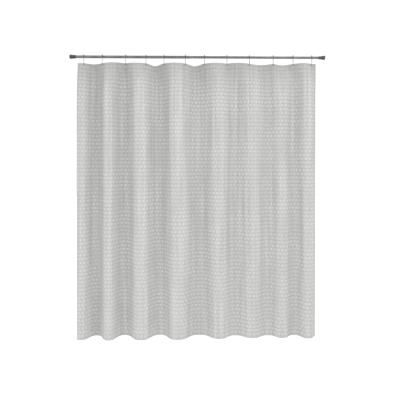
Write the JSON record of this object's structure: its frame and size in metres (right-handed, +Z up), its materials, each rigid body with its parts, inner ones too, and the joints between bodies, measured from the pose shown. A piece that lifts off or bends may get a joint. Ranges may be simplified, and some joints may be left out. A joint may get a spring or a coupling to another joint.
{
  "type": "shower curtain",
  "caption": "Fabric shower curtain in soft vertical folds, hung by steel roller rings on a telescoping spring tension rod with rubber end caps.",
  "frame": {"origin": "centre of the left end cap's wall face, on the rod's axis", "axes": "+X along the rod from the left end cap to the right one, +Y away from the room towards the bath, +Z up; the curtain hangs down -Z"},
  "size_m": [1.6995, 0.071, 1.8867],
  "materials": {
    "end_cap_rubber": "matte",
    "rod_steel": "satin",
    "ring_steel": "polished",
    "spring_steel": "satin",
    "nylon": "matte",
    "curtain_fabric": "matte"
  },
  "bodies": {
    "rod": {"left_end_cap": "end_cap_rubber", "outer_tube": "rod_steel"},
    "rod_extension": {"inner_tube": "rod_steel", "right_end_cap": "end_cap_rubber", "lock_plug": "nylon", "tension_spring": "spring_steel", "spring_stop": "nylon"},
    "fold_01": {"curtain_left_edge": "curtain_fabric", "curtain_panel_01": "curtain_fabric"},
    "fold_02": {"curtain_panel_02": "curtain_fabric"},
    "fold_03": {"curtain_panel_03": "curtain_fabric"},
    "fold_04": {"curtain_panel_04": "curtain_fabric"},
    "fold_05": {"curtain_panel_05": "curtain_fabric"},
    "fold_06": {"curtain_panel_06": "curtain_fabric"},
    "fold_07": {"curtain_panel_07": "curtain_fabric"},
    "fold_08": {"curtain_panel_08": "curtain_fabric"},
    "fold_09": {"curtain_panel_09": "curtain_fabric"},
    "fold_10": {"curtain_panel_10": "curtain_fabric"},
    "fold_11": {"curtain_panel_11": "curtain_fabric"},
    "fold_12": {"curtain_panel_12": "curtain_fabric"},
    "fold_13": {"curtain_panel_13": "curtain_fabric"},
    "fold_14": {"curtain_panel_14": "curtain_fabric"},
    "fold_15": {"curtain_right_edge": "curtain_fabric", "ring_12": "ring_steel"},
    "ring_01": {"ring_01": "ring_steel"},
    "ring_02": {"ring_02": "ring_steel"},
    "ring_03": {"ring_03": "ring_steel"},
    "ring_04": {"ring_04": "ring_steel"},
    "ring_05": {"ring_05": "ring_steel"},
    "ring_06": {"ring_06": "ring_steel"},
    "ring_07": {"ring_07": "ring_steel"},
    "ring_08": {"ring_08": "ring_steel"},
    "ring_09": {"ring_09": "ring_steel"},
    "ring_10": {"ring_10": "ring_steel"},
    "ring_11": {"ring_11": "ring_steel"}
  },
  "joints": [
    {"name": "rod_length", "type": "slide", "parent": "rod", "child": "rod_extension", "axis": [1, 0, 0], "range_m": [-0.02, 0.19]},
    {"name": "swing", "type": "hinge", "parent": "rod", "child": "fold_01", "pos_m": [0, 0, 0], "axis": [1, 0, 0], "range_deg": [-12, 12]},
    {"name": "draw", "type": "slide", "parent": "fold_01", "child": "fold_02", "axis": [-1, 0, 0], "range_m": [-0.00141, 0.06089], "deforming": ["curtain_panel_01"]},
    {"name": "gather_02", "type": "slide", "parent": "fold_02", "child": "fold_03", "axis": [-1, 0, 0], "range_m": [-0.00134, 0.0579], "deforming": ["curtain_panel_02"]},
    {"name": "gather_03", "type": "slide", "parent": "fold_03", "child": "fold_04", "axis": [-1, 0, 0], "range_m": [-0.00146, 0.06316], "deforming": ["curtain_panel_03"]},
    {"name": "gather_04", "type": "slide", "parent": "fold_04", "child": "fold_05", "axis": [-1, 0, 0], "range_m": [-0.00182, 0.07895], "deforming": ["curtain_panel_04"]},
    {"name": "gather_05", "type": "slide", "parent": "fold_05", "child": "fold_06", "axis": [-1, 0, 0], "range_m": [-0.00182, 0.07895], "deforming": ["curtain_panel_05"]},
    {"name": "gather_06", "type": "slide", "parent": "fold_06", "child": "fold_07", "axis": [-1, 0, 0], "range_m": [-0.00182, 0.07895], "deforming": ["curtain_panel_06"]},
    {"name": "gather_07", "type": "slide", "parent": "fold_07", "child": "fold_08", "axis": [-1, 0, 0], "range_m": [-0.00231, 0.1], "deforming": ["curtain_panel_07"]},
    {"name": "gather_08", "type": "slide", "parent": "fold_08", "child": "fold_09", "axis": [-1, 0, 0], "range_m": [-0.00206, 0.08947], "deforming": ["curtain_panel_08"]},
    {"name": "gather_09", "type": "slide", "parent": "fold_09", "child": "fold_10", "axis": [-1, 0, 0], "range_m": [-0.00158, 0.06842], "deforming": ["curtain_panel_09"]},
    {"name": "gather_10", "type": "slide", "parent": "fold_10", "child": "fold_11", "axis": [-1, 0, 0], "range_m": [-0.00182, 0.07895], "deforming": ["curtain_panel_10"]},
    {"name": "gather_11", "type": "slide", "parent": "fold_11", "child": "fold_12", "axis": [-1, 0, 0], "range_m": [-0.00158, 0.06842], "deforming": ["curtain_panel_11"]},
    {"name": "gather_12", "type": "slide", "parent": "fold_12", "child": "fold_13", "axis": [-1, 0, 0], "range_m": [-0.00146, 0.06316], "deforming": ["curtain_panel_12"]},
    {"name": "gather_13", "type": "slide", "parent": "fold_13", "child": "fold_14", "axis": [-1, 0, 0], "range_m": [-0.00126, 0.05474], "deforming": ["curtain_panel_13"]},
    {"name": "gather_14", "type": "slide", "parent": "fold_14", "child": "fold_15", "axis": [-1, 0, 0], "range_m": [-0.00129, 0.05579], "deforming": ["curtain_panel_14"]},
    {"name": "ring_01_slide", "type": "slide", "parent": "fold_01", "child": "ring_01", "axis": [-1, 0, 0], "range_m": [-0.0001, 0.0039]},
    {"name": "ring_02_slide", "type": "slide", "parent": "fold_02", "child": "ring_02", "axis": [-1, 0, 0], "range_m": [-0.00066, 0.02817]},
    {"name": "ring_03_slide", "type": "slide", "parent": "fold_04", "child": "ring_03", "axis": [-1, 0, 0], "range_m": [-0.0001, 0.00385]},
    {"name": "ring_04_slide", "type": "slide", "parent": "fold_05", "child": "ring_04", "axis": [-1, 0, 0], "range_m": [-0.00033, 0.01386]},
    {"name": "ring_05_slide", "type": "slide", "parent": "fold_06", "child": "ring_05", "axis": [-1, 0, 0], "range_m": [-0.00033, 0.01386]},
    {"name": "ring_06_slide", "type": "slide", "parent": "fold_07", "child": "ring_06", "axis": [-1, 0, 0], "range_m": [-0.00072, 0.03073]},
    {"name": "ring_07_slide", "type": "slide", "parent": "fold_08", "child": "ring_07", "axis": [-1, 0, 0], "range_m": [-0.0003, 0.01254]},
    {"name": "ring_08_slide", "type": "slide", "parent": "fold_09", "child": "ring_08", "axis": [-1, 0, 0], "range_m": [-0.00071, 0.03028]},
    {"name": "ring_09_slide", "type": "slide", "parent": "fold_10", "child": "ring_09", "axis": [-1, 0, 0], "range_m": [-0.00164, 0.07075]},
    {"name": "ring_10_slide", "type": "slide", "parent": "fold_12", "child": "ring_10", "axis": [-1, 0, 0], "range_m": [-0.00039, 0.01638]},
    {"name": "ring_11_slide", "type": "slide", "parent": "fold_13", "child": "ring_11", "axis": [-1, 0, 0], "range_m": [-0.00119, 0.05126]}
  ],
  "couplings": [
    {"joint": "gather_02", "follows": "draw", "ratio": 0.9322},
    {"joint": "gather_03", "follows": "draw", "ratio": 1.017},
    {"joint": "gather_04", "follows": "draw", "ratio": 1.2712},
    {"joint": "gather_05", "follows": "draw", "ratio": 1.2712},
    {"joint": "gather_06", "follows": "draw", "ratio": 1.2712},
    {"joint": "gather_07", "follows": "draw", "ratio": 1.6102},
    {"joint": "gather_08", "follows": "draw", "ratio": 1.4407},
    {"joint": "gather_09", "follows": "draw", "ratio": 1.1017},
    {"joint": "gather_10", "follows": "draw", "ratio": 1.2712},
    {"joint": "gather_11", "follows": "draw", "ratio": 1.1017},
    {"joint": "gather_12", "follows": "draw", "ratio": 1.017},
    {"joint": "gather_13", "follows": "draw", "ratio": 0.88136},
    {"joint": "gather_14", "follows": "draw", "ratio": 0.89831},
    {"joint": "ring_01_slide", "follows": "draw", "ratio": 0.062709},
    {"joint": "ring_02_slide", "follows": "draw", "ratio": 0.45339},
    {"joint": "ring_03_slide", "follows": "draw", "ratio": 0.06177},
    {"joint": "ring_04_slide", "follows": "draw", "ratio": 0.22298},
    {"joint": "ring_05_slide", "follows": "draw", "ratio": 0.22298},
    {"joint": "ring_06_slide", "follows": "draw", "ratio": 0.49462},
    {"joint": "ring_07_slide", "follows": "draw", "ratio": 0.20175},
    {"joint": "ring_08_slide", "follows": "draw", "ratio": 0.48741},
    {"joint": "ring_09_slide", "follows": "draw", "ratio": 1.139},
    {"joint": "ring_10_slide", "follows": "draw", "ratio": 0.26365},
    {"joint": "ring_11_slide", "follows": "draw", "ratio": 0.82519}
  ]
}
